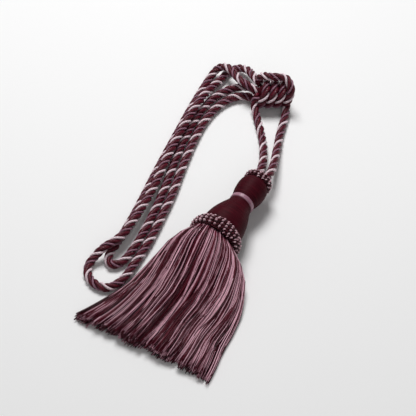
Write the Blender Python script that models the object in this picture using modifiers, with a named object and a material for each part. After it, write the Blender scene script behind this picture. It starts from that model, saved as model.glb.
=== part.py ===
"""Curtain tieback tassel, lying on a flat surface.

A thread-covered head lies along Y with its cut skirt spread towards -Y. Rope legs leave its
crown, meet a wound barrel knot, and two long rope loops come back beside the skirt.
Metres, +Z up. The surface is the plane Z = 0, and the origin is on the flat underside of the
skirt, below the head's axis.
"""
import math

import bmesh
import bpy
from mathutils import Vector

MM = 0.001
GAP = 0.3 * MM

# Head, turned about an axis along Y at this height: (radius, station along Y) in mm,
# from the crown down to the plug inside the base ruff.
AXIS_HEIGHT = 22.0
HEAD_PROFILE = [
    (0.0, 144.8), (9.6, 144.8), (9.6, 138.9), (12.0, 138.6), (13.0, 137.2), (13.9, 134.0),
    (14.2, 130.5), (14.1, 127.0), (13.7, 123.0), (13.0, 119.5), (12.1, 116.5), (11.3, 114.6),
    (10.6, 114.4), (10.6, 109.6), (11.1, 109.4), (11.7, 106.5), (12.9, 103.0), (14.6, 99.0),
    (16.1, 95.0), (17.4, 91.0), (18.5, 87.0), (19.3, 82.5), (19.8, 78.0), (19.9, 74.0),
    (19.6, 71.8), (17.4, 71.6), (17.4, 58.3), (0.0, 58.3),
]
NECK_BAND = [(10.9, 114.0), (11.3, 113.9), (11.6, 113.0), (11.6, 111.0), (11.3, 110.1), (10.9, 110.0)]
CROWN_RUFF = [(9.9, 146.6), (10.8, 147.0), (11.8, 145.8), (12.6, 142.8), (12.5, 140.2), (11.8, 139.0),
              (9.9, 139.2)]
BASE_RUFF = [(17.7, 70.9), (20.6, 71.3), (22.6, 69.7), (23.5, 66.1), (23.4, 61.7), (22.4, 58.9),
             (20.2, 58.3), (17.7, 58.3)]
TURN_STEPS = 40

# Skirt, a row for each section: station along Y, left and right edges in X, height of the top,
# height of the widest point, how quickly the underside runs flat, and the upper side's power,
# where 0.5 is round and 1 is peaked. All but the last two in mm.
SKIRT_SECTIONS = [
    # station, left, right, top, side, flatness, power
    (57.9, -21.8, 22.2, 43.2, 22.0, 1.05, 0.5),
    (50.5, -31.0, 35.0, 42.2, 16.0, 1.3, 0.55),
    (41.0, -37.5, 44.0, 39.2, 11.0, 1.7, 0.6),
    (28.0, -41.0, 50.5, 34.8, 7.5, 2.4, 0.65),
    (12.0, -43.5, 56.5, 29.0, 5.5, 3.4, 0.7),
    (-8.0, -47.0, 60.0, 22.0, 5.0, 4.0, 0.7),
    (-28.0, -54.0, 61.5, 17.0, 4.6, 4.0, 0.62),
    (-46.0, -61.0, 65.0, 14.0, 4.6, 4.0, 0.54),
    (-60.0, -68.0, 67.0, 12.4, 4.6, 4.0, 0.5),
]
SKIRT_COLUMNS = 72
SKIRT_ROWS = 11
SKIRT_LOCKS = 15
LOCK_RISE = 1.3
SKIRT_PEAK = 0.44
# Partings at the cut end: place across the skirt from left to right, half width, depth in mm.
SKIRT_PARTINGS = [(0.13, 0.03, 4.0), (0.30, 0.025, 3.0), (0.53, 0.035, 7.0), (0.74, 0.045, 22.0),
                  (0.88, 0.03, 5.0)]
UNEVEN_CUT = 2.2

# Rope, in mm. Each route is a list of points along the rope's centre line.
ROPE_RADIUS = 4.1
OUTER_LOOP = [
    (-62.6, 261, 20), (-69, 265.5, 17.5), (-78, 272.5, 14.5), (-88, 280.5, 10.5), (-99, 282.5, 6.5),
    (-106.5, 276, 4.2), (-107.5, 262, 4.3), (-107.5, 246, 7.5), (-107.2, 226, 11.2), (-104.5, 196, 11.5),
    (-99, 160, 11.5), (-92.5, 128, 11.3), (-86.5, 102, 9.9), (-81.5, 74, 10.9), (-78.5, 50, 12.8),
    (-77.5, 34, 12.8), (-79.5, 22, 13), (-84, 11, 12.4), (-88, 1, 7), (-88.5, -8, 4.2), (-82, -18, 4.1),
    (-70, -23, 4.1), (-59.5, -20, 4.1), (-53.8, -8, 4.1), (-54, 12, 4.1), (-57, 44, 4.1), (-63, 76, 4.1),
    (-69, 104, 4.1), (-78, 136, 4.1), (-87, 172, 4.1), (-92, 204, 4.1), (-90.5, 228, 4.2),
    (-84, 243.5, 4.8), (-74, 251.5, 5.5), (-61.5, 252.5, 5),
]
INNER_LOOP = [
    (-59.3, 255.8, 12.4), (-67, 253, 17), (-76, 253.8, 19.8), (-87, 259, 17.5), (-98, 266, 16),
    (-107.5, 270, 14.4), (-115.2, 268, 10.2), (-118, 260, 5.5), (-117, 245, 4.1), (-112, 208, 4.1),
    (-106.5, 176, 4.1), (-101, 144, 4.1), (-95.5, 114, 4.1), (-89.5, 84, 4.1), (-84.5, 56, 4.1),
    (-81.3, 31, 4.1), (-80, 15, 4.1), (-77.4, 7.2, 4.1), (-72, 3.4, 4.1), (-66.6, 7.2, 4.1), (-64.2, 15, 4.1),
    (-64.7, 32, 4.1), (-67.3, 52, 4.1), (-72.7, 80, 4.1), (-78.7, 106, 4.1), (-88.2, 139, 4.1),
    (-96.5, 174, 4.1), (-101.3, 206, 4.1), (-101, 230, 4.1), (-96, 246, 4.8), (-88, 255.5, 7),
    (-77, 260.5, 8.8), (-64.5, 262, 8.5),
]
LEFT_LEG = [
    (-4.3, 146.4, 22), (-5.4, 156, 20.6), (-11.5, 173, 14.8), (-19, 188, 9), (-27, 202, 5.2),
    (-36, 214.5, 4.1), (-46, 226.5, 4.2), (-53.5, 235.5, 5.4), (-58.5, 241.5, 8.4), (-59.8, 245, 13.2),
    (-56.8, 247.2, 18),
]
RIGHT_LEG = [
    (4.3, 146.4, 22), (3.9, 157, 20.6), (-1, 175, 15), (-7, 190, 10.5), (-13, 205, 6.5), (-19, 220, 4.3),
    (-23.5, 234, 4.1), (-27.5, 247, 4.3), (-31, 256, 6), (-35, 263, 9.5),
]
LOOP_POINTS = 33
LEG_POINTS = 9

# Knot: slanted wraps of the same rope about a barrel axis from its left end to its right end, mm.
KNOT_LEFT = (-57.1, 253.9)
KNOT_RIGHT = (-31.1, 270.9)
KNOT_HEIGHT = 14.7
WRAP_RADIUS = 10.5
WRAP_PITCH = 8.3
WRAP_LEAN = 2.6
FIRST_WRAP = 26.5
WRAP_START = 62
WRAP_END = 1232
WRAP_STEP = 30
CORE_RADIUS = 9.5
# The rope's run along the back of the barrel before its first wrap: place along the axis,
# distance from the axis, and angle from straight up, in mm and degrees.
KNOT_LEAD = [(-2.6, 12.8, -66), (-1.2, 16.2, -46), (1.8, 18.4, -26), (6.5, 19.0, -15), (13, 19.0, -11),
             (19.5, 19.0, -8), (23.5, 18.6, 0), (26.2, 16.8, 15), (27.2, 13.6, 36)]


def clear_scene():
    for old in list(bpy.data.objects):
        bpy.data.objects.remove(old, do_unlink=True)


def new_collection(name):
    collection = bpy.data.collections.new(name)
    bpy.context.scene.collection.children.link(collection)
    return collection


def fabric(name, colour, roughness):
    """A yarn or thread material: plain, matt, never metallic."""
    material = bpy.data.materials.new(name)
    material.use_nodes = True
    shader = material.node_tree.nodes["Principled BSDF"]
    shader.inputs["Base Color"].default_value = (*colour, 1.0)
    shader.inputs["Roughness"].default_value = roughness
    shader.inputs["Metallic"].default_value = 0.0
    return material


def metres(point):
    return Vector(point) * MM


def add_object(name, data, collection, material=None):
    thing = bpy.data.objects.new(name, data)
    collection.objects.link(thing)
    if material:
        data.materials.append(material)
    return thing


def hidden_helper(thing, name, collection):
    """Name a helper primitive and keep it with the cutters."""
    thing.name = name
    for holder in list(thing.users_collection):
        holder.objects.unlink(thing)
    collection.objects.link(thing)


def turned(name, profile, collection, material, closed):
    """A profile of (radius, station) turned about the head's axis with a Screw modifier."""
    mesh = bpy.data.meshes.new(name)
    points = [(radius * MM, 0.0, station * MM) for radius, station in profile]
    edges = [(i, i + 1) for i in range(len(points) - 1)]
    if closed:
        edges.append((len(points) - 1, 0))
    mesh.from_pydata(points, edges, [])
    ring = add_object(name, mesh, collection, material)
    screw = ring.modifiers.new("Turn", "SCREW")
    screw.axis = "Z"
    screw.steps = TURN_STEPS
    screw.render_steps = TURN_STEPS
    screw.use_merge_vertices = True
    screw.merge_threshold = 1e-5
    screw.use_smooth_shade = True
    ring.rotation_euler = (-math.pi / 2, 0.0, 0.0)
    ring.location = (0.0, 0.0, AXIS_HEIGHT * MM)
    return ring


def smooth_route(route, count):
    """Points read at equal steps from a centripetal Catmull-Rom curve through a route."""
    knots = [metres(point) for point in route]
    knots = [2 * knots[0] - knots[1]] + knots + [2 * knots[-1] - knots[-2]]
    spans = len(route) - 1
    points = []
    for index in range(count):
        place = spans * index / (count - 1)
        span = min(int(place), spans - 1)
        p0, p1, p2, p3 = knots[span:span + 4]
        t1 = (p1 - p0).length ** 0.5
        t2 = t1 + (p2 - p1).length ** 0.5
        t3 = t2 + (p3 - p2).length ** 0.5
        t = t1 + (t2 - t1) * (place - span)
        a1 = p0.lerp(p1, t / t1)
        a2 = p1.lerp(p2, (t - t1) / (t2 - t1))
        a3 = p2.lerp(p3, (t - t2) / (t3 - t2))
        b1 = a1.lerp(a2, t / t2)
        b2 = a2.lerp(a3, (t - t1) / (t3 - t1))
        point = b1.lerp(b2, (t - t1) / (t2 - t1))
        point.z = max(point.z, ROPE_RADIUS * MM)
        points.append(point)
    return points


def rope_tube(name, points, collection, material, radius=ROPE_RADIUS):
    """A round tube along the points of a rope's centre line."""
    curve = bpy.data.curves.new(name, "CURVE")
    curve.dimensions = "3D"
    curve.bevel_depth = radius * MM
    curve.bevel_resolution = 2
    curve.use_fill_caps = True
    curve.twist_mode = "MINIMUM"
    spline = curve.splines.new("POLY")
    spline.points.add(len(points) - 1)
    for place, point in zip(spline.points, points):
        place.co = (*point, 1.0)
    spline.use_smooth = True
    return add_object(name, curve, collection, material)


def curve_to_mesh(thing, collection, material):
    """Turn a tube into a closed mesh object of the same name, with its caps welded."""
    bpy.context.view_layer.update()
    evaluated = thing.evaluated_get(bpy.context.evaluated_depsgraph_get())
    mesh = bpy.data.meshes.new_from_object(evaluated)
    body = bmesh.new()
    body.from_mesh(mesh)
    bmesh.ops.remove_doubles(body, verts=body.verts, dist=1e-6)
    bmesh.ops.recalc_face_normals(body, faces=body.faces)
    body.to_mesh(mesh)
    body.free()
    mesh.materials.clear()
    name = thing.name
    placing = thing.matrix_world.copy()
    bpy.data.objects.remove(thing, do_unlink=True)
    solid = add_object(name, mesh, collection, material)
    solid.matrix_world = placing
    return solid


def boolean(target, cutter, operation, touches_itself=False):
    """Join or cut a mesh object with a hidden helper object."""
    cutter.hide_render = True
    cutter.display_type = "WIRE"
    step = target.modifiers.new(operation.title(), "BOOLEAN")
    step.operation = operation
    step.object = cutter
    step.solver = "EXACT"
    step.use_self = touches_itself


def knot_point(along, distance, degrees):
    """A point about the barrel's axis, at an angle from straight up towards the front."""
    left = Vector((*KNOT_LEFT, KNOT_HEIGHT))
    axis = (Vector((*KNOT_RIGHT, KNOT_HEIGHT)) - left).normalized()
    front = Vector((axis.y, -axis.x, 0.0))
    turn = math.radians(degrees)
    point = left + axis * along + front * distance * math.sin(turn)
    point.z += distance * math.cos(turn)
    point.z = max(point.z, ROPE_RADIUS)
    return point


def knot_path():
    """The wound rope's centre line: the run along the back, then the slanted wraps."""
    points = [knot_point(*row) * MM for row in KNOT_LEAD]
    for degrees in range(WRAP_START, WRAP_END + 1, WRAP_STEP):
        lean = WRAP_LEAN * math.cos(math.radians(degrees))
        along = FIRST_WRAP - WRAP_PITCH * degrees / 360 + lean
        points.append(knot_point(along, WRAP_RADIUS, degrees) * MM)
    return points


def build_knot(collection, cutters, material, ropes):
    """The wound barrel: its wraps joined to a core, cleared for the ropes that run into it."""
    wraps = rope_tube("knot", knot_path(), collection, material)
    knot = curve_to_mesh(wraps, collection, material)
    left = Vector((*KNOT_LEFT, KNOT_HEIGHT))
    right = Vector((*KNOT_RIGHT, KNOT_HEIGHT))
    axis = (right - left).normalized()
    near = left - axis * 3.0
    far = left + axis * FIRST_WRAP
    bpy.ops.mesh.primitive_cylinder_add(vertices=20, radius=CORE_RADIUS * MM,
                                        depth=(far - near).length * MM, location=(near + far) / 2 * MM)
    core = bpy.context.object
    core.rotation_euler = axis.to_track_quat("Z", "Y").to_euler()
    hidden_helper(core, "knot_core", cutters)
    boolean(knot, core, "UNION", touches_itself=True)
    for name, points in ropes.items():
        clearance = rope_tube("clear_" + name, points, cutters, None, ROPE_RADIUS + 0.35)
        clearance = curve_to_mesh(clearance, cutters, None)
        boolean(knot, clearance, "DIFFERENCE")
    return knot


def section_at(station):
    """The skirt's section sizes at a station along Y, eased between the table's rows."""
    rows = SKIRT_SECTIONS
    if station <= rows[-1][0]:
        return rows[-1][1:]
    for upper, lower in zip(rows, rows[1:]):
        if station >= lower[0]:
            share = (upper[0] - station) / (upper[0] - lower[0])
            return [a + (b - a) * share for a, b in zip(upper[1:], lower[1:])]
    return rows[-1][1:]


def parting(across):
    """How far the cut end is drawn back at a place across the skirt, in mm."""
    return sum(depth * max(0.0, 1.0 - abs(across - place) / width)
               for place, width, depth in SKIRT_PARTINGS)


def skirt_point(column, row, upper):
    """A point of the skirt's upper or under surface, in mm."""
    turn = math.pi * column / SKIRT_COLUMNS
    across = (1.0 - math.cos(turn)) / 2.0
    share = row / SKIRT_ROWS
    uneven = UNEVEN_CUT * (math.sin(37.0 * across) + 0.6 * math.sin(71.0 * across + 1.0))
    end = SKIRT_SECTIONS[-1][0] + uneven + parting(across)
    station = SKIRT_SECTIONS[0][0] + (end - SKIRT_SECTIONS[0][0]) * share
    left, right, top, side, flatness, power = section_at(station)
    x = left + (right - left) * across
    if not upper:
        return Vector((x, station, max(0.0, side * (1.0 - flatness * math.sin(turn)))))
    crest = math.sin(math.pi * across ** (math.log(0.5) / math.log(SKIRT_PEAK)))
    edge = min(1.0, math.sin(turn) * 3.0)
    ridge = abs(math.sin(math.pi * SKIRT_LOCKS * across)) - 0.5
    lift = LOCK_RISE * ridge * share * edge - 0.16 * parting(across) * share ** 2 * edge
    height = side + (top - side) * max(0.0, crest) ** power + lift
    return Vector((x, station, height))


def build_skirt(collection, material):
    """The cut fringe as one comb: lofted from its round top to its spread, uneven cut end."""
    body = bmesh.new()
    rings = []
    for row in range(SKIRT_ROWS + 1):
        upper = [body.verts.new(skirt_point(i, row, True) * MM) for i in range(1, SKIRT_COLUMNS)]
        under = [body.verts.new(skirt_point(i, row, False) * MM) for i in range(1, SKIRT_COLUMNS)]
        ends = [body.verts.new(skirt_point(i, row, False) * MM) for i in (0, SKIRT_COLUMNS)]
        rings.append(([ends[0]] + upper + [ends[1]], [ends[0]] + under + [ends[1]]))
    for (upper, under), (next_upper, next_under) in zip(rings, rings[1:]):
        for i in range(SKIRT_COLUMNS):
            body.faces.new((upper[i], upper[i + 1], next_upper[i + 1], next_upper[i]))
            body.faces.new((under[i], next_under[i], next_under[i + 1], under[i + 1]))
    for upper, under in (rings[0], rings[-1]):
        for i in range(SKIRT_COLUMNS):
            corners = [upper[i], upper[i + 1], under[i + 1], under[i]]
            body.faces.new(list(dict.fromkeys(corners)))
    bmesh.ops.recalc_face_normals(body, faces=body.faces)
    mesh = bpy.data.meshes.new("skirt")
    body.to_mesh(mesh)
    body.free()
    return add_object("skirt", mesh, collection, material)


def cut_flat(target, cutters):
    """Cut away whatever lies below the surface."""
    bpy.ops.mesh.primitive_cube_add(size=0.2, location=(0.0, 0.07, -0.1))
    block = bpy.context.object
    hidden_helper(block, "below_surface", cutters)
    boolean(target, block, "DIFFERENCE")


def build():
    clear_scene()
    tassel = new_collection("curtain_tieback_tassel")
    cutters = new_collection("cutters")
    burgundy = fabric("burgundy_thread", (0.066, 0.009, 0.018), 0.6)
    rope_yarn = fabric("rope_yarn", (0.085, 0.012, 0.026), 0.75)
    satin = fabric("pink_satin", (0.48, 0.26, 0.33), 0.4)
    gimp = fabric("two_colour_gimp", (0.40, 0.15, 0.22), 0.8)
    fringe = fabric("fringe_thread", (0.14, 0.03, 0.06), 0.7)

    head = turned("head", HEAD_PROFILE, tassel, burgundy, closed=False)
    band = turned("neck_band", NECK_BAND, tassel, satin, closed=True)
    crown = turned("crown_ruff", CROWN_RUFF, tassel, gimp, closed=True)
    base = turned("base_ruff", BASE_RUFF, tassel, gimp, closed=True)
    cut_flat(base, cutters)
    skirt = build_skirt(tassel, fringe)

    ropes = {
        "loop_outer": smooth_route(OUTER_LOOP, LOOP_POINTS),
        "loop_inner": smooth_route(INNER_LOOP, LOOP_POINTS),
        "leg_left": smooth_route(LEFT_LEG, LEG_POINTS),
        "leg_right": smooth_route(RIGHT_LEG, LEG_POINTS),
    }
    tubes = [rope_tube(name, points, tassel, rope_yarn) for name, points in ropes.items()]
    knot = build_knot(tassel, cutters, rope_yarn, ropes)

    root = bpy.data.objects.new("tassel_root", None)
    tassel.objects.link(root)
    for thing in [head, band, crown, base, skirt, knot] + tubes:
        thing.parent = root


build()
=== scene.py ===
import math
import random

import bpy
import numpy as np
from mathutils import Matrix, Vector


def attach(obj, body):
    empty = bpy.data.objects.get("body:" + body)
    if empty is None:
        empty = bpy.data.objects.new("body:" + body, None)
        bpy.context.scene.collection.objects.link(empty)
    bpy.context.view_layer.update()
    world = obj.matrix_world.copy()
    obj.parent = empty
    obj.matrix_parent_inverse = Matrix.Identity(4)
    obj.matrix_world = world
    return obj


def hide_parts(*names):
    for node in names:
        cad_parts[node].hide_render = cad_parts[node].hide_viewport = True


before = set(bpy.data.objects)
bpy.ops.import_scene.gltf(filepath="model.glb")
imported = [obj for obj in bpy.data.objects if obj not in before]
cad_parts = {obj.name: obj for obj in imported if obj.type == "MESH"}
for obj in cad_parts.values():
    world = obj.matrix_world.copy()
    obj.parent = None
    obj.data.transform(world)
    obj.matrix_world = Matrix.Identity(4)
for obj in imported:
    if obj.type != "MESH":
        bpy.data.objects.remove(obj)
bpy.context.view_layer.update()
bpy.ops.object.select_all(action="DESELECT")
MM = 0.001

# ---- Camera: a product view from above and in front, with the tassel's skirt nearest.
CAMERA_TARGET = Vector((-0.0335, 0.1087, 0.0))
CAMERA_AZIMUTH = math.radians(30.4)
CAMERA_ELEVATION = math.radians(48.0)
CAMERA_DISTANCE = 1.40
flat_part = CAMERA_DISTANCE * math.cos(CAMERA_ELEVATION)
camera_place = CAMERA_TARGET + Vector((
    flat_part * math.sin(CAMERA_AZIMUTH),
    -flat_part * math.cos(CAMERA_AZIMUTH),
    CAMERA_DISTANCE * math.sin(CAMERA_ELEVATION),
))
bpy.ops.object.camera_add(location=camera_place)
camera = bpy.context.object
camera.rotation_euler = (CAMERA_TARGET - camera_place).to_track_quat("-Z", "Y").to_euler()
camera.data.lens = 130.8
camera.data.sensor_width = 36.0
bpy.context.scene.camera = camera
bpy.context.scene.view_settings.view_transform = "Standard"

# ---- Rope: viscose yarn laid up with a Z twist, 8.2 mm thick. A fat and a middling burgundy ply
# lie beside each other, with a thin pale pink ply in one groove and a thin mauve one in the
# other. The same rope makes both loops, the legs and the knot, so its makings stand here.
ROPE_RADIUS = 4.1 * MM
ROPE_LEAD = 23.0 * MM
ROPE_STEP = 1.3 * MM
CURVE_POINTS = 16
# The plies in order round the rope: name, radius, how far the ply's back reaches, sides.
ROPE_PLIES = [
    ("pale", 1.15 * MM, 4.15 * MM, 8),
    ("fat", 2.05 * MM, 4.10 * MM, 14),
    ("mauve", 0.92 * MM, 4.0 * MM, 8),
    ("middling", 1.55 * MM, 4.05 * MM, 12),
]


def rope_line(route, step):
    """Points at equal steps along a smooth curve through a route, never below lying height."""
    knots = np.array(route, dtype=float) * MM
    knots = np.vstack([2 * knots[0] - knots[1], knots, 2 * knots[-1] - knots[-2]])
    fine = []
    for p0, p1, p2, p3 in zip(knots, knots[1:], knots[2:], knots[3:]):
        t1 = np.linalg.norm(p1 - p0) ** 0.5
        t2 = t1 + np.linalg.norm(p2 - p1) ** 0.5
        t3 = t2 + np.linalg.norm(p3 - p2) ** 0.5
        for t in np.linspace(t1, t2, CURVE_POINTS, endpoint=False):
            a1 = (t1 - t) / t1 * p0 + t / t1 * p1
            a2 = (t2 - t) / (t2 - t1) * p1 + (t - t1) / (t2 - t1) * p2
            a3 = (t3 - t) / (t3 - t2) * p2 + (t - t2) / (t3 - t2) * p3
            b1 = (t2 - t) / t2 * a1 + t / t2 * a2
            b2 = (t3 - t) / (t3 - t1) * a2 + (t - t1) / (t3 - t1) * a3
            fine.append((t2 - t) / (t2 - t1) * b1 + (t - t1) / (t2 - t1) * b2)
    fine.append(knots[-2])
    fine = np.array(fine)
    fine[:, 2] = np.maximum(fine[:, 2], ROPE_RADIUS)
    along = np.concatenate([[0], np.cumsum(np.linalg.norm(np.diff(fine, axis=0), axis=1))])
    count = max(8, int(along[-1] / step))
    places = np.linspace(0, along[-1], count)
    return np.column_stack([np.interp(places, along, fine[:, axis]) for axis in range(3)])


def unit(vectors):
    """The same directions, each 1 long."""
    return vectors / np.maximum(np.linalg.norm(vectors, axis=-1, keepdims=True), 1e-12)


def carried_frame(line):
    """Two cross directions carried along a line without added twist."""
    tangents = unit(np.gradient(line, axis=0))
    across = np.cross(tangents[0], [0.0, 0.0, 1.0])
    normals = []
    for tangent in tangents:
        across = unit(across - tangent * across.dot(tangent))
        normals.append(across)
    normals = np.array(normals)
    return normals, np.cross(tangents, normals)


def yarn_tube(line, radius, sides, facing):
    """Rings of points round a yarn's own line, with one cross direction kept towards facing."""
    tangents = unit(np.gradient(line, axis=0))
    outward = unit(facing - tangents * np.sum(facing * tangents, axis=1, keepdims=True))
    sideways = np.cross(tangents, outward)
    turns = np.linspace(0, 2 * math.pi, sides, endpoint=False)[None, :, None]
    spread = np.cos(turns) * outward[:, None] + np.sin(turns) * sideways[:, None]
    radius = np.broadcast_to(radius, (len(line),))
    return line[:, None] + spread * radius[:, None, None]


def mesh_from_tubes(name, tubes, materials):
    """One mesh of closed tubes: (rings, material number, tone, length across one turn of yarn)."""
    points, faces, slots, wraps, tones = [], [], [], [], []
    start = 0
    for rings, slot, tone, turn_length in tubes:
        count, sides = rings.shape[:2]
        points.append(rings.reshape(-1, 3))
        lengths = np.linalg.norm(np.diff(rings.mean(axis=1), axis=0), axis=1)
        along = np.concatenate([[0], np.cumsum(lengths)]) / turn_length
        for ring in range(count - 1):
            low = start + ring * sides
            for side in range(sides):
                following = (side + 1) % sides
                faces.append((low + side, low + following,
                              low + sides + following, low + sides + side))
                left, right = side / sides, (side + 1) / sides
                wraps += [(left, along[ring]), (right, along[ring]),
                          (right, along[ring + 1]), (left, along[ring + 1])]
        faces.append(tuple(range(start + sides - 1, start - 1, -1)))
        faces.append(tuple(range(start + (count - 1) * sides, start + count * sides)))
        wraps += [(0.5, 0.0)] * sides + [(0.5, along[-1])] * sides
        slots += [slot] * ((count - 1) * sides + 2)
        tones += np.repeat(np.broadcast_to(tone, (count,)), sides).tolist()
        start += count * sides
    mesh = bpy.data.meshes.new(name)
    mesh.from_pydata(np.vstack(points).tolist(), [], faces)
    layer = mesh.uv_layers.new(name="yarn")
    layer.data.foreach_set("uv", np.array(wraps, dtype=np.float32).ravel())
    attribute = mesh.attributes.new("tone", "FLOAT", "POINT")
    attribute.data.foreach_set("value", np.array(tones, dtype=np.float32))
    for material in materials:
        mesh.materials.append(material)
    mesh.polygons.foreach_set("material_index", np.array(slots, dtype=np.int32))
    mesh.shade_smooth()
    thing = bpy.data.objects.new(name, mesh)
    bpy.context.scene.collection.objects.link(thing)
    return thing


def linear(hex_colour):
    """An sRGB hex colour as linear red, green, blue and alpha."""
    channels = [int(hex_colour[i:i + 2], 16) / 255 for i in (1, 3, 5)]
    return [c / 12.92 if c <= 0.04045 else ((c + 0.055) / 1.055) ** 2.4 for c in channels] + [1.0]


def node(material, kind, settings=None, links=None):
    """Add a shader node, set its sockets or properties by name, and link its inputs."""
    added = material.node_tree.nodes.new(kind)
    for name, value in (settings or {}).items():
        if isinstance(name, int) or name in added.inputs:
            added.inputs[name].default_value = value
        else:
            setattr(added, name, value)
    for name, source in (links or {}).items():
        material.node_tree.links.new(source, added.inputs[name])
    return added


# How far the filaments stand out, and the scale of the patches of tone, each about 4 mm long.
FILAMENT_RELIEF = 0.4 * MM
TONE_PATCH_SCALE = 260.0
# What the ridges add as painted shade in the grooves between filaments, what the patches add to a
# yarn's tone, and what is taken off both.
RIDGE_PAINTED_SHADE = 0.55
PATCH_TONE = 0.7
TONE_START = -0.1


def yarn_material(name, dark, light, filaments, slant, gloss, roughness, bump=0.6):
    """Twisted viscose yarn: fine filaments that slant round it, with shade painted into the grooves
    between them.
    """
    material = bpy.data.materials.new(name)
    material.use_nodes = True
    shader = material.node_tree.nodes["Principled BSDF"]
    place = node(material, "ShaderNodeUVMap", {"uv_map": "yarn"})
    split = node(material, "ShaderNodeSeparateXYZ", links={"Vector": place.outputs["UV"]})
    slanted = node(material, "ShaderNodeMath", {"operation": "MULTIPLY_ADD", 1: slant},
                   {0: split.outputs["Y"], 2: split.outputs["X"]})
    turned = node(material, "ShaderNodeMath", {"operation": "MULTIPLY", 1: filaments * 2 * math.pi},
                  {0: slanted.outputs[0]})
    wave = node(material, "ShaderNodeMath", {"operation": "SINE"}, {0: turned.outputs[0]})
    ridge = node(material, "ShaderNodeMapRange", {"From Min": -1.0, "From Max": 1.0},
                 {"Value": wave.outputs[0]})
    spot = node(material, "ShaderNodeTexCoord")
    patches = node(material, "ShaderNodeTexNoise", {"Scale": TONE_PATCH_SCALE, "Detail": 3.0},
                   {"Vector": spot.outputs["Object"]})
    tone = node(material, "ShaderNodeAttribute", {"attribute_name": "tone"})
    # Painted shade: the ridge pattern darkens the colour in the grooves between the filaments.
    groove_painted_shade = node(material, "ShaderNodeMath",
                 {"operation": "MULTIPLY_ADD", 1: RIDGE_PAINTED_SHADE, 2: TONE_START},
                 {0: ridge.outputs[0]})
    mottled = node(material, "ShaderNodeMath", {"operation": "MULTIPLY_ADD", 1: PATCH_TONE},
                   {0: patches.outputs["Fac"], 2: groove_painted_shade.outputs[0]})
    shaded = node(material, "ShaderNodeMath", {"operation": "ADD", "use_clamp": True},
                  {0: mottled.outputs[0], 1: tone.outputs["Fac"]})
    colour = node(material, "ShaderNodeMix", {"data_type": "RGBA"})
    colour.inputs[6].default_value = linear(dark)
    colour.inputs[7].default_value = linear(light)
    material.node_tree.links.new(shaded.outputs[0], colour.inputs[0])
    material.node_tree.links.new(colour.outputs[2], shader.inputs["Base Color"])
    relief = node(material, "ShaderNodeBump", {"Strength": bump, "Distance": FILAMENT_RELIEF},
                  {"Height": ridge.outputs[0]})
    material.node_tree.links.new(relief.outputs["Normal"], shader.inputs["Normal"])
    shader.inputs["Roughness"].default_value = roughness
    shader.inputs["Specular IOR Level"].default_value = gloss
    return material


rope_burgundy = yarn_material("burgundy_viscose_rope_yarn", "#180106", "#70162d",
                              filaments=7, slant=-0.55, gloss=0.3, roughness=0.36)
rope_pale = yarn_material("pale_pink_viscose_ply", "#d5b0bd", "#fff2f7",
                          filaments=4, slant=-0.6, gloss=0.3, roughness=0.4)
rope_mauve = yarn_material("mauve_viscose_ply", "#5e3344", "#b3869a",
                           filaments=4, slant=-0.6, gloss=0.3, roughness=0.42)
ROPE_YARNS = [rope_burgundy, rope_pale, rope_mauve]
PLY_YARN = {"pale": 1, "fat": 0, "mauve": 2, "middling": 0}


def laid_rope(name, line, start_turn, lead):
    """The rope's plies twisted round its centre line, each a closed tube of its own."""
    normals, sides_way = carried_frame(line)
    step_lengths = np.linalg.norm(np.diff(line, axis=0), axis=1)
    along = np.concatenate([[0], np.cumsum(step_lengths)])
    widths = [radius for _, radius, _, _ in ROPE_PLIES]
    whole = sum(widths)
    tubes = []
    passed = 0.0
    for ply, radius, reach, sides in ROPE_PLIES:
        place = 2 * math.pi * (passed + radius / 2) / whole
        passed += radius
        turn = start_turn + place + 2 * math.pi * along / lead
        outward = np.cos(turn)[:, None] * normals + np.sin(turn)[:, None] * sides_way
        rings = yarn_tube(line + outward * (reach - radius), radius, sides, outward)
        tubes.append((rings, PLY_YARN[ply], 0.0, 2 * math.pi * radius))
    return mesh_from_tubes(name, tubes, ROPE_YARNS)


# ---- Outer loop: the longer loop of rope, meant to go round the curtain. It leaves the knot's
# left end, comes back beside the skirt, and crosses over the inner loop in a low hump. Its route
# is its centre line, in mm.
OUTER_LOOP = [
    (-62.6, 261, 20), (-69, 265.5, 17.5), (-78, 272.5, 14.5), (-88, 280.5, 10.5),
    (-99, 282.5, 6.5), (-106.5, 276, 4.2), (-107.5, 262, 4.3), (-107.5, 246, 7.5),
    (-107.2, 226, 11.2), (-104.5, 196, 11.5), (-99, 160, 11.5), (-92.5, 128, 11.3),
    (-86.5, 102, 9.9), (-81.5, 74, 10.9), (-78.5, 50, 12.8), (-77.5, 34, 12.8), (-79.5, 22, 13),
    (-84, 11, 12.4), (-88, 1, 7), (-88.5, -8, 4.2), (-82, -18, 4.1), (-70, -23, 4.1),
    (-59.5, -20, 4.1), (-53.8, -8, 4.1), (-54, 12, 4.1), (-57, 44, 4.1), (-63, 76, 4.1),
    (-69, 104, 4.1), (-78, 136, 4.1), (-87, 172, 4.1), (-92, 204, 4.1), (-90.5, 228, 4.2),
    (-84, 243.5, 4.8), (-74, 251.5, 5.5), (-61.5, 252.5, 5),
]


def free_rope(name, route, start_turn, lead=ROPE_LEAD):
    line = rope_line(route, ROPE_STEP)
    rope = laid_rope(name + "_rope", line, start_turn, lead)
    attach(rope, "root")
    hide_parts(name)


free_rope("loop_outer", OUTER_LOOP, start_turn=0.0)

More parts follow.
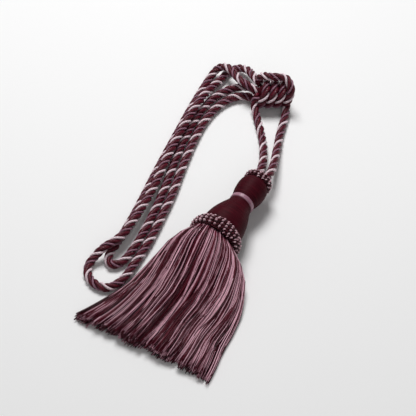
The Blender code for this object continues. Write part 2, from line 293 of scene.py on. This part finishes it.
# ---- Inner loop: the shorter loop, which lies inside the outer one and turns tightly at its end.
INNER_LOOP = [
    (-59.3, 255.8, 12.4), (-67, 253, 17), (-76, 253.8, 19.8), (-87, 259, 17.5), (-98, 266, 16),
    (-107.5, 270, 14.4), (-115.2, 268, 10.2), (-118, 260, 5.5), (-117, 245, 4.1),
    (-112, 208, 4.1), (-106.5, 176, 4.1), (-101, 144, 4.1), (-95.5, 114, 4.1), (-89.5, 84, 4.1),
    (-84.5, 56, 4.1), (-81.3, 31, 4.1), (-80, 15, 4.1), (-77.4, 7.2, 4.1), (-72, 3.4, 4.1),
    (-66.6, 7.2, 4.1), (-64.2, 15, 4.1), (-64.7, 32, 4.1), (-67.3, 52, 4.1), (-72.7, 80, 4.1),
    (-78.7, 106, 4.1), (-88.2, 139, 4.1), (-96.5, 174, 4.1), (-101.3, 206, 4.1), (-101, 230, 4.1),
    (-96, 246, 4.8), (-88, 255.5, 7), (-77, 260.5, 8.8), (-64.5, 262, 8.5),
]
free_rope("loop_inner", INNER_LOOP, start_turn=1.4)

# ---- Legs: the two stretches of rope that carry the tassel. They leave the crown side by side,
# come down to the surface, and run into the knot. Their lay is a little longer than the loops'.
LEG_LEAD = 27.0 * MM
LEFT_LEG = [
    (-4.3, 146.4, 22), (-5.4, 156, 20.6), (-11.5, 173, 14.8), (-19, 188, 9), (-27, 202, 5.2),
    (-36, 214.5, 4.1), (-46, 226.5, 4.2), (-53.5, 235.5, 5.4), (-58.5, 241.5, 8.4),
    (-59.8, 245, 13.2), (-56.8, 247.2, 18),
]
RIGHT_LEG = [
    (4.3, 146.4, 22), (3.9, 157, 20.6), (-1, 175, 15), (-7, 190, 10.5), (-13, 205, 6.5),
    (-19, 220, 4.3), (-23.5, 234, 4.1), (-27.5, 247, 4.3), (-31, 256, 6), (-35, 263, 9.5),
]
free_rope("leg_left", LEFT_LEG, start_turn=2.6, lead=LEG_LEAD)
free_rope("leg_right", RIGHT_LEG, start_turn=0.7, lead=LEG_LEAD)

# ---- Knot: the rope runs along the back of the barrel, turns down at its right end, and winds
# back over the legs and loops in slanted wraps. The first points are the barrel's axis, and all
# is in mm and degrees. The lead's rows are (along the axis, distance from it, angle).
KNOT_LEFT = Vector((-57.1, 253.9, 14.7))
KNOT_RIGHT = Vector((-31.1, 270.9, 14.7))
WRAP_RADIUS = 10.5
WRAP_PITCH = 8.3
WRAP_LEAN = 2.6
FIRST_WRAP = 26.5
WRAP_STARTS_AT = 62
WRAP_ENDS_BEFORE = 1233
WRAP_STEP = 30
LYING_HEIGHT = 4.1
KNOT_LEAD = [(-2.6, 12.8, -66), (-1.2, 16.2, -46), (1.8, 18.4, -26), (6.5, 19.0, -15),
             (13, 19.0, -11), (19.5, 19.0, -8), (23.5, 18.6, 0), (26.2, 16.8, 15), (27.2, 13.6, 36)]


def knot_point(along, distance, degrees):
    """A point about the barrel's axis, at an angle from straight up towards the front."""
    axis = (KNOT_RIGHT - KNOT_LEFT).normalized()
    front = Vector((axis.y, -axis.x, 0.0))
    turn = math.radians(degrees)
    point = KNOT_LEFT + axis * along + front * distance * math.sin(turn)
    return (point.x, point.y, max(LYING_HEIGHT, point.z + distance * math.cos(turn)))


knot_route = [knot_point(*row) for row in KNOT_LEAD]
for degrees in range(WRAP_STARTS_AT, WRAP_ENDS_BEFORE, WRAP_STEP):
    lean = WRAP_LEAN * math.cos(math.radians(degrees))
    along_axis = FIRST_WRAP - WRAP_PITCH * degrees / 360 + lean
    knot_route.append(knot_point(along_axis, WRAP_RADIUS, degrees))
free_rope("knot", knot_route, start_turn=0.0)

# ---- Head: a turned wooden mould wound from end to end with burgundy viscose thread. The winding
# is drawn at 0.9 mm, coarser than the real thread, so that its turns still show.
AXIS_HEIGHT = 22.0 * MM
THREAD_PITCH = 0.9
THREAD_RIDGE = 0.16
TURNED_SIDES = 72
HEAD_OUTLINE = [
    (144.8, 9.6), (138.9, 9.7), (138.6, 12.0), (137.2, 13.0), (134.0, 13.9), (130.5, 14.2),
    (127.0, 14.1), (123.0, 13.7), (119.5, 13.0), (116.5, 12.1), (114.6, 11.3), (114.4, 10.8),
    (109.6, 10.8), (109.4, 11.1), (106.5, 11.7), (103.0, 12.9), (99.0, 14.6), (95.0, 16.1),
    (91.0, 17.4), (87.0, 18.5), (82.5, 19.3), (78.0, 19.8), (74.0, 19.9), (71.4, 19.6),
    (71.2, 17.4),
]


def turned_rings(name, outline, sides, material):
    """A round piece about the head's axis, extruded ring by ring from (station, radius) in mm."""
    first_station, first_radius = outline[0]
    bpy.ops.mesh.primitive_circle_add(vertices=sides, radius=first_radius * MM, fill_type="NGON",
                                      location=(0, first_station * MM, AXIS_HEIGHT),
                                      rotation=(math.pi / 2, 0, 0))
    piece = bpy.context.object
    piece.name = name
    piece.data.name = name
    bpy.ops.object.mode_set(mode="EDIT")
    bpy.ops.mesh.select_all(action="SELECT")
    station, radius = first_station, first_radius
    for next_station, next_radius in outline[1:]:
        bpy.ops.mesh.extrude_region_move(
            TRANSFORM_OT_translate={"value": (0, (next_station - station) * MM, 0)})
        bpy.ops.transform.resize(value=(next_radius / radius, 1, next_radius / radius))
        station, radius = next_station, next_radius
    bpy.ops.mesh.select_all(action="SELECT")
    bpy.ops.mesh.normals_make_consistent(inside=False)
    bpy.ops.object.mode_set(mode="OBJECT")
    bpy.ops.object.transform_apply(location=True, rotation=True, scale=True)
    bpy.ops.object.shade_smooth()
    piece.data.materials.append(material)
    bpy.ops.object.select_all(action="DESELECT")
    return piece


# Points in the outline for each turn of thread, and the height in a ridge that keeps to it.
POINTS_A_TURN = 4
RIDGE_MIDDLE = 0.6


def wound_outline(outline, pitch, depth):
    """The same outline with a rounded ridge for each turn of thread."""
    stations = [-station for station, _ in outline]
    radii = [radius for _, radius in outline]
    count = int((stations[-1] - stations[0]) / pitch * POINTS_A_TURN)
    wound = []
    for index in range(count + 1):
        station = stations[0] + (stations[-1] - stations[0]) * index / count
        ridge = depth * (abs(math.sin(math.pi * index / POINTS_A_TURN)) - RIDGE_MIDDLE)
        wound.append((-station, float(np.interp(station, stations, radii)) + ridge))
    return wound


def thread_material(name, dark, light, roughness, gloss):
    """Wound viscose thread: soft streaks that run round the mould with the thread."""
    material = bpy.data.materials.new(name)
    material.use_nodes = True
    shader = material.node_tree.nodes["Principled BSDF"]
    spot = node(material, "ShaderNodeTexCoord")
    stretch = node(material, "ShaderNodeMapping", {"Scale": (60.0, 900.0, 60.0)},
                   {"Vector": spot.outputs["Object"]})
    streaks = node(material, "ShaderNodeTexNoise", {"Scale": 1.0, "Detail": 4.0, "Roughness": 0.65},
                   {"Vector": stretch.outputs[0]})
    colour = node(material, "ShaderNodeValToRGB", links={"Fac": streaks.outputs["Fac"]})
    colour.color_ramp.elements[0].position = 0.3
    colour.color_ramp.elements[0].color = linear(dark)
    colour.color_ramp.elements[1].position = 0.75
    colour.color_ramp.elements[1].color = linear(light)
    material.node_tree.links.new(colour.outputs["Color"], shader.inputs["Base Color"])
    relief = node(material, "ShaderNodeBump", {"Strength": 0.35, "Distance": 0.0003},
                  {"Height": streaks.outputs["Fac"]})
    material.node_tree.links.new(relief.outputs["Normal"], shader.inputs["Normal"])
    shader.inputs["Roughness"].default_value = roughness
    shader.inputs["Specular IOR Level"].default_value = gloss
    return material


head_thread = thread_material("burgundy_wound_thread", "#2e0811", "#4d101c",
                              roughness=0.5, gloss=0.05)
head = turned_rings("wound_head", wound_outline(HEAD_OUTLINE, THREAD_PITCH, THREAD_RIDGE),
                    TURNED_SIDES, head_thread)
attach(head, "root")
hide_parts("head")

# ---- Knot's heart: thread lashed over the rope ends inside the barrel, which fills it behind the
# wraps and closes its end in a dome. It is the head's thread, so it comes after the head.
HEART_RADIUS = 10.2 * MM
HEART_HALF_LENGTH = 16.0 * MM
HEART_BLUNTNESS = 0.55
HEART_ENDS = (-5, 27)
heart_ends = [Vector(knot_point(along_axis, 0, 0)) for along_axis in HEART_ENDS]
bpy.ops.mesh.primitive_uv_sphere_add(segments=40, ring_count=48, radius=HEART_RADIUS,
                                     location=(heart_ends[0] + heart_ends[1]) / 2 * MM)
knot_heart = bpy.context.object
knot_heart.name = "knot_heart"
for vertex in knot_heart.data.vertices:
    blunted = abs(vertex.co.z / HEART_RADIUS) ** HEART_BLUNTNESS
    vertex.co.z = math.copysign(blunted, vertex.co.z) * HEART_HALF_LENGTH
knot_heart.rotation_euler = (KNOT_RIGHT - KNOT_LEFT).to_track_quat("Z", "Y").to_euler()
bpy.ops.object.transform_apply(location=True, rotation=True, scale=True)
bpy.ops.object.shade_smooth()
knot_heart.data.materials.append(head_thread)
bpy.ops.object.select_all(action="DESELECT")
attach(knot_heart, "root")

# ---- Neck band: flat pink satin thread, wound in a few close turns over the thin of the neck.
BAND_PITCH = 1.3
BAND_RIDGE = 0.12
BAND_OUTLINE = [(114.4, 10.6), (114.2, 11.4), (113.6, 11.8),
                (110.4, 11.8), (109.8, 11.4), (109.6, 10.6)]
band_satin = thread_material("pink_satin_thread", "#734658", "#bd90a1", roughness=0.35, gloss=0.5)
band = turned_rings("satin_neck_band", wound_outline(BAND_OUTLINE, BAND_PITCH, BAND_RIDGE),
                    TURNED_SIDES, band_satin)
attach(band, "root")
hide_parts("neck_band")

# ---- Ruffs: looped gimp sewn round the crown and round the base. Each is a burgundy body covered
# in staggered rows of tiny yarn loops, where every other loop is pink, and a scalloped pink edge
# lies on the bell. Rows are (station, radius, yarn radius, loop width, rise, pink share), in mm.
gimp_burgundy = yarn_material("burgundy_gimp_yarn", "#1a0207", "#581022",
                              filaments=5, slant=-0.6, gloss=0.2, roughness=0.45)
gimp_pink = yarn_material("pink_gimp_yarn", "#ab6a7c", "#ffdde6",
                          filaments=5, slant=-0.6, gloss=0.4, roughness=0.4)
EVERY_OTHER = 0.5
BASE_ROWS = [
    (58.9, 22.3, 0.5, 2.2, 0.8, 0.1), (60.9, 23.2, 0.75, 2.2, 1.3, EVERY_OTHER),
    (62.6, 23.6, 0.6, 2.4, 1.0, 0.08), (64.2, 23.7, 0.75, 2.2, 1.4, EVERY_OTHER),
    (65.9, 23.6, 0.6, 2.4, 1.0, 0.08), (67.5, 23.2, 0.75, 2.2, 1.4, EVERY_OTHER),
    (69.1, 22.6, 0.6, 2.4, 1.0, 0.1), (70.6, 21.5, 0.7, 2.2, 1.1, EVERY_OTHER),
    (72.4, 20.3, 0.45, 3.0, 0.2, 0.4),
]
CROWN_ROWS = [
    (139.6, 12.6, 0.5, 2.2, 0.7, 0.12), (141.4, 12.8, 0.65, 2.0, 1.1, EVERY_OTHER),
    (143.0, 12.7, 0.5, 2.2, 0.9, 0.1), (144.6, 12.2, 0.65, 2.0, 1.1, EVERY_OTHER),
    (146.3, 11.2, 0.55, 2.0, 0.7, EVERY_OTHER),
]
BASE_LOOPS = 58
CROWN_LOOPS = 36
# Points along one loop, sides of its yarn, and how deep its feet stand in the body, in mm.
LOOP_POINTS = 8
LOOP_SIDES = 6
LOOP_SUNK = 0.35


def gimp_loops(name, rows, count, seed):
    """Rows of small arched loops round the head's axis, staggered from row to row."""
    chance = random.Random(seed)
    tubes = []
    for row, (station, radius, yarn_radius, loop_width, rise, pink_share) in enumerate(rows):
        for index in range(count):
            turn = 2 * math.pi * (index + 0.5 * (row % 2) + chance.uniform(-0.16, 0.16)) / count
            tilt = 0.7 + chance.uniform(-0.5, 0.5)
            middle_station = station + chance.uniform(-0.35, 0.35)
            if pink_share == EVERY_OTHER:
                pink = int((index + row) % 2)
            else:
                pink = int(chance.random() < pink_share)
            stand = rise * chance.uniform(0.85, 1.15) * (1.25 if pink else 0.8)
            width = loop_width * (0.62 if pink and rise > 0.8 else 1.0)
            arch = []
            for bend in np.linspace(-0.25, math.pi + 0.25, LOOP_POINTS):
                aside = -width * math.cos(bend) / 2
                out = (radius + stand * math.sin(bend) - LOOP_SUNK) * MM
                angle = turn + aside * math.cos(tilt) / radius
                height_above = max(yarn_radius * MM, AXIS_HEIGHT + out * math.cos(angle))
                arch.append((out * math.sin(angle), (middle_station + aside * math.sin(tilt)) * MM,
                             height_above))
            arch = np.array(arch)
            middle = np.array([0.0, station * MM, AXIS_HEIGHT])
            rings = yarn_tube(arch, yarn_radius * MM, LOOP_SIDES, arch - middle)
            tubes.append((rings, pink, chance.uniform(-0.3, 0.25), 2 * math.pi * yarn_radius * MM))
    return mesh_from_tubes(name, tubes, [gimp_burgundy, gimp_pink])


gimp_body = thread_material("burgundy_gimp_body", "#170409", "#32101a", roughness=0.7, gloss=0.1)
for node_name, rows, count in (("base_ruff", BASE_ROWS, BASE_LOOPS),
                               ("crown_ruff", CROWN_ROWS, CROWN_LOOPS)):
    loops = gimp_loops(node_name + "_loops", rows, count, seed=11 + count)
    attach(loops, "root")
    for body_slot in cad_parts[node_name].material_slots:
        body_slot.material = gimp_body

# ---- Skirt: cut viscose fringe, bunched under the base ruff and fanned out on the surface. Its
# sections are (station, left, right, top, side height, roundness, flatness of the underside),
# in mm from the head's axis and the surface.
SKIRT_SECTIONS = [
    (57.9, -21.8, 22.2, 43.2, 22.0, 0.5, 1.05),
    (50.5, -31.0, 35.0, 42.2, 16.0, 0.55, 1.3),
    (41.0, -37.5, 44.0, 39.2, 11.0, 0.6, 1.7),
    (28.0, -41.0, 50.5, 34.8, 7.5, 0.65, 2.4),
    (12.0, -43.5, 56.5, 29.0, 5.5, 0.7, 3.4),
    (-8.0, -47.0, 60.0, 22.0, 5.0, 0.7, 4.0),
    (-28.0, -54.0, 61.5, 17.0, 4.6, 0.62, 4.0),
    (-46.0, -61.0, 65.0, 14.0, 4.6, 0.54, 4.0),
    (-60.0, -68.0, 67.0, 12.4, 4.6, 0.5, 4.0),
]
LEFT, RIGHT, TOP, SIDE, ROUNDNESS, FLATNESS = range(1, 7)
SKIRT_TABLE = np.array(SKIRT_SECTIONS)[::-1]
SKIRT_START = SKIRT_SECTIONS[0][0]
SKIRT_END = SKIRT_SECTIONS[-1][0]
# Where the skirt is highest across, and its partings: (place across, half width, depth in mm).
SKIRT_PEAK = 0.44
SKIRT_PARTINGS = [(0.13, 0.03, 4.0), (0.30, 0.025, 3.0), (0.53, 0.035, 7.0), (0.74, 0.045, 22.0),
                  (0.88, 0.03, 5.0)]
# A soft fold presses the strands down on the left, a short way below the ruff.
FOLD_PLACE = 0.36
FOLD_SHARE = 0.30
FOLD_DEPTH = 2.6
THREAD_RADIUS = 0.38
THREAD_SIDES = 4


def skirt_size(station, column):
    """One of the skirt's sizes at a station, between its sections."""
    return np.interp(station, SKIRT_TABLE[:, 0], SKIRT_TABLE[:, column])


def parting(across):
    """How far the cut end is drawn back at a place across the skirt, in mm."""
    return sum(depth * np.maximum(0.0, 1.0 - np.abs(across - place) / width)
               for place, width, depth in SKIRT_PARTINGS)


def top_height(across, station, share):
    """The skirt's upper surface, with a valley down each parting."""
    side = skirt_size(station, SIDE)
    crest = np.sin(math.pi * np.clip(across, 0, 1) ** (math.log(0.5) / math.log(SKIRT_PEAK)))
    crest = np.maximum(crest, 0) ** skirt_size(station, ROUNDNESS)
    height = side + (skirt_size(station, TOP) - side) * crest
    return height - 0.16 * parting(across) * share ** 2


def underside_height(across, station):
    """The skirt's lower surface, which curves in from its edges to the floor."""
    hollow = 1.0 - skirt_size(station, FLATNESS) * np.sin(np.arccos(1 - 2 * across))
    return skirt_size(station, SIDE) * hollow


def fanned_place(place, share):
    """A thread's place across, evenly round the ruff at the start and spread out below."""
    round_place = (1 - math.cos(math.pi * place)) / 2
    return round_place + (place - round_place) * np.clip(share * 1.35, 0, 1) ** 0.8


def fringe_strand(place, depth, threads, chance, start, spread):
    """The centre lines of the threads of one strand, which wanders and rises as a whole."""
    share = np.linspace(start, 1.0, 15 if start < 0.3 else 6)
    base = fanned_place(place, share)
    drift = chance.gauss(0, spread) * share ** 1.3
    drift = drift + chance.gauss(0, 0.8) * np.sin(math.pi * share * chance.uniform(1.0, 2.2))
    lift = chance.uniform(-1.8, 0.8) * np.clip(share * 2, 0.4, 1)
    lift = lift + chance.gauss(0, 0.5) * np.sin(
        2 * math.pi * (share * chance.uniform(0.8, 1.8) + chance.random()))
    fold = FOLD_DEPTH * np.exp(-((base - FOLD_PLACE) / 0.10) ** 2
                               - ((share - FOLD_SHARE) / 0.17) ** 2)
    strand_end = SKIRT_END + parting(place) + chance.gauss(0, 1.2)
    lines = []
    for _ in range(threads):
        turn = chance.uniform(0, 2 * math.pi)
        reach = math.sqrt(chance.random()) * 0.9
        own = reach * math.cos(turn) * np.clip(0.45 + share, 0, 1)
        own = own + chance.gauss(0, 1.7) * share ** 2
        own = own + chance.gauss(0, 0.35) * np.sin(math.pi * share * chance.uniform(1.5, 4.0))
        end = strand_end + chance.gauss(0, 0.9)
        station = SKIRT_START + (end - SKIRT_START) * share
        left, right = skirt_size(station, LEFT), skirt_size(station, RIGHT)
        across = np.clip(base + (drift + own) / (right - left), 0.001, 0.999)
        height = top_height(across, station, share) - depth * np.clip(0.3 + share, 0, 1)
        height = height + lift - fold + 0.7 * reach * math.sin(turn) * np.clip(0.5 + share, 0, 1)
        height = np.clip(height - THREAD_RADIUS - 0.4, THREAD_RADIUS, None)
        lines.append(np.column_stack([left + (right - left) * across, station, height]) * MM)
    return lines


fringe_burgundy = yarn_material("burgundy_fringe_thread", "#120005", "#641027",
                                filaments=3, slant=-0.5, gloss=0.2, roughness=0.34, bump=0.25)
fringe_pink = yarn_material("dusty_pink_fringe_thread", "#6a2b40", "#f3bdce",
                            filaments=3, slant=-0.5, gloss=0.4, roughness=0.32, bump=0.25)
FRINGE_YARNS = [fringe_burgundy, fringe_pink]
# Layers from the outside in: name, strands, threads in each, depth below the surface in mm,
# where along the skirt they start, wander in mm, and painted shade, darker for deeper layers.
FRINGE_LAYERS = [
    ("upper", 130, 3, 0.0, 0.0, 2.4, 0.03), ("second", 90, 5, 1.8, 0.0, 3.4, -0.2),
    ("third", 70, 6, 3.2, 0.3, 3.0, -0.3), ("inner", 110, 6, 5.2, 0.6, 2.0, -0.3),
    ("ends", 120, 6, 7.0, 0.75, 1.5, -0.2),
]
# The share of pink threads in a mostly pink strand, in a burgundy one, and in a layer deeper than
# DEEP, in mm. Pink strands are fewer on the left, and fewest in the fold, where the extra burgundy
# is partly the fringe's own colour and partly painted shade in the crease.
DEEP = 4
PINK_IN_PINK = 0.86
PINK_IN_BURGUNDY = 0.16
PINK_IN_DEEP = 0.3
chance = random.Random(5)
for layer_name, count, threads, depth, start, spread, layer_painted_shade in FRINGE_LAYERS:
    tubes = []
    for index in range(count):
        place = (index + chance.random()) / count
        pinkness = 0.26 + 0.30 * min(1.0, place / 0.6)
        # Partly painted shade: fewer pink strands darken the fold.
        pinkness = pinkness - 0.3 * math.exp(-((place - FOLD_PLACE) / 0.07) ** 2)
        run = 0.5 + 0.5 * math.sin(index * 2.1 + 1.7 * math.sin(index * 0.83))
        pink_share = PINK_IN_PINK if run < pinkness * 0.8 else PINK_IN_BURGUNDY
        if depth > DEEP:
            pink_share = PINK_IN_DEEP
        strand_depth = depth + (chance.uniform(-2.5, 5.0) if depth > DEEP else 0)
        # Painted shade: deeper layers are coloured darker, with a random tone for each strand
        # added.
        strand_tone_and_shade = layer_painted_shade + chance.gauss(0, 0.12)
        for line in fringe_strand(place, strand_depth, threads, chance, start, spread):
            up = np.tile([0.0, 0.0, 1.0], (len(line), 1))
            rings = yarn_tube(line, THREAD_RADIUS * MM, THREAD_SIDES, up)
            pink = int(chance.random() < pink_share)
            # Painted highlight: about one thread in six is lightened at random to stand in for
            # glints of light.
            painted_glint = 0.35 if chance.random() < 0.16 else 0.0
            tubes.append((rings, pink, strand_tone_and_shade + painted_glint + chance.gauss(0, 0.24),
                          2 * math.pi * THREAD_RADIUS * MM))
    fringe = mesh_from_tubes("fringe_" + layer_name, tubes, FRINGE_YARNS)
    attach(fringe, "root")
    if layer_name == "upper":
        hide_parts("skirt")

# The threads of the skirt's underside. They are a little thicker, and stop short of the end.
UNDER_THREADS = 420
UNDER_THICKER = 1.2
UNDER_SHORT = 3
tubes = []
for index in range(UNDER_THREADS):
    place = (index + chance.random()) / UNDER_THREADS
    share = np.linspace(0.0, 1.0, 11)
    station = SKIRT_START + (SKIRT_END + UNDER_SHORT - SKIRT_START) * share
    left, right = skirt_size(station, LEFT), skirt_size(station, RIGHT)
    across = fanned_place(place, share) + chance.gauss(0, 1.2) * share / (right - left)
    across = np.clip(across, 0.002, 0.998)
    height = underside_height(across, station) + chance.uniform(0.0, 0.8)
    height = np.maximum(THREAD_RADIUS, height)
    line = np.column_stack([left + (right - left) * across, station, height]) * MM
    down = np.tile([0.0, 0.0, -1.0], (len(line), 1))
    rings = yarn_tube(line, THREAD_RADIUS * MM * UNDER_THICKER, THREAD_SIDES, down)
    pink = int(chance.random() < (0.75 if math.sin(place * 95) > 0.35 else 0.12))
    tubes.append((rings, pink, chance.gauss(-0.05, 0.2), 2 * math.pi * THREAD_RADIUS * MM))
under = mesh_from_tubes("fringe_under", tubes, FRINGE_YARNS)
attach(under, "root")

# The mass of threads inside the skirt, coloured darker than the threads themselves as painted
# shade, so that it shows only as darkness between the outer ones. It keeps this far below the
# skirt's top, above its underside, and back from its cut end, in mm.
CORE_BELOW_TOP = 3.2
CORE_ABOVE_UNDERSIDE = 1.6
CORE_SHORT = 5.0
bpy.ops.mesh.primitive_grid_add(x_subdivisions=48, y_subdivisions=16, size=1.0, location=(0, 0, 0))
core = bpy.context.object
core.name = "fringe_core"
for vertex in core.data.vertices:
    across = min(0.985, max(0.015, vertex.co.x + 0.5))
    share = 0.5 - vertex.co.y
    end = SKIRT_END + CORE_SHORT + parting(across)
    station = SKIRT_START + (end - SKIRT_START) * share
    left, right = skirt_size(station, LEFT), skirt_size(station, RIGHT)
    height = max(1.2, float(top_height(across, station, share)) - CORE_BELOW_TOP)
    vertex.co = ((left + (right - left) * across) * MM, station * MM, height * MM)
bpy.ops.object.mode_set(mode="EDIT")
bpy.ops.mesh.select_all(action="SELECT")
bpy.ops.mesh.extrude_region_move(TRANSFORM_OT_translate={"value": (0, 0, 0)})
bpy.ops.object.mode_set(mode="OBJECT")
for vertex in core.data.vertices:
    if vertex.select:
        station = vertex.co.y / MM
        left, right = skirt_size(station, LEFT), skirt_size(station, RIGHT)
        across = min(1.0, max(0.0, (vertex.co.x / MM - left) / (right - left)))
        lower = underside_height(across, station) + CORE_ABOVE_UNDERSIDE
        vertex.co.z = max(0.3, min(vertex.co.z / MM - 0.3, lower)) * MM
bpy.ops.object.mode_set(mode="EDIT")
bpy.ops.mesh.select_all(action="SELECT")
bpy.ops.mesh.normals_make_consistent(inside=False)
bpy.ops.object.mode_set(mode="OBJECT")
bpy.ops.object.shade_smooth()
# Painted shade: the inner thread is coloured darker than the fringe's own threads.
core_thread_and_shade = thread_material("burgundy_inner_thread_and_painted_shade", "#150308", "#2c0b15",
                              roughness=0.7, gloss=0.1)
core.data.materials.append(core_thread_and_shade)
bpy.ops.object.select_all(action="DESELECT")
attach(core, "root")

# ---- Stage: a plain pale floor and soft studio light from above and behind on the left.
bpy.ops.mesh.primitive_plane_add(size=8.0, location=(0, 0, 0))
floor = bpy.context.object
floor.name = "floor"
paper = bpy.data.materials.new("pale_matt_paper")
paper.use_nodes = True
paper_shader = paper.node_tree.nodes["Principled BSDF"]
paper_shader.inputs["Base Color"].default_value = linear("#f4f4f4")
paper_shader.inputs["Roughness"].default_value = 0.9
floor.data.materials.append(paper)


def soft_light(name, place, size, power):
    """A square studio light that faces the tassel."""
    bpy.ops.object.light_add(type="AREA", location=place)
    light = bpy.context.object
    light.name = name
    light.data.size = size
    light.data.energy = power
    light.rotation_euler = (CAMERA_TARGET - Vector(place)).to_track_quat("-Z", "Y").to_euler()


soft_light("key_light", (-0.5, 0.75, 1.5), size=0.7, power=25.0)
soft_light("front_fill", (0.9, -0.9, 1.2), size=1.0, power=3.5)
world = bpy.data.worlds.new("studio")
bpy.context.scene.world = world
world.use_nodes = True
world.node_tree.nodes["Background"].inputs["Color"].default_value = (1.0, 1.0, 1.0, 1.0)
world.node_tree.nodes["Background"].inputs["Strength"].default_value = 0.16
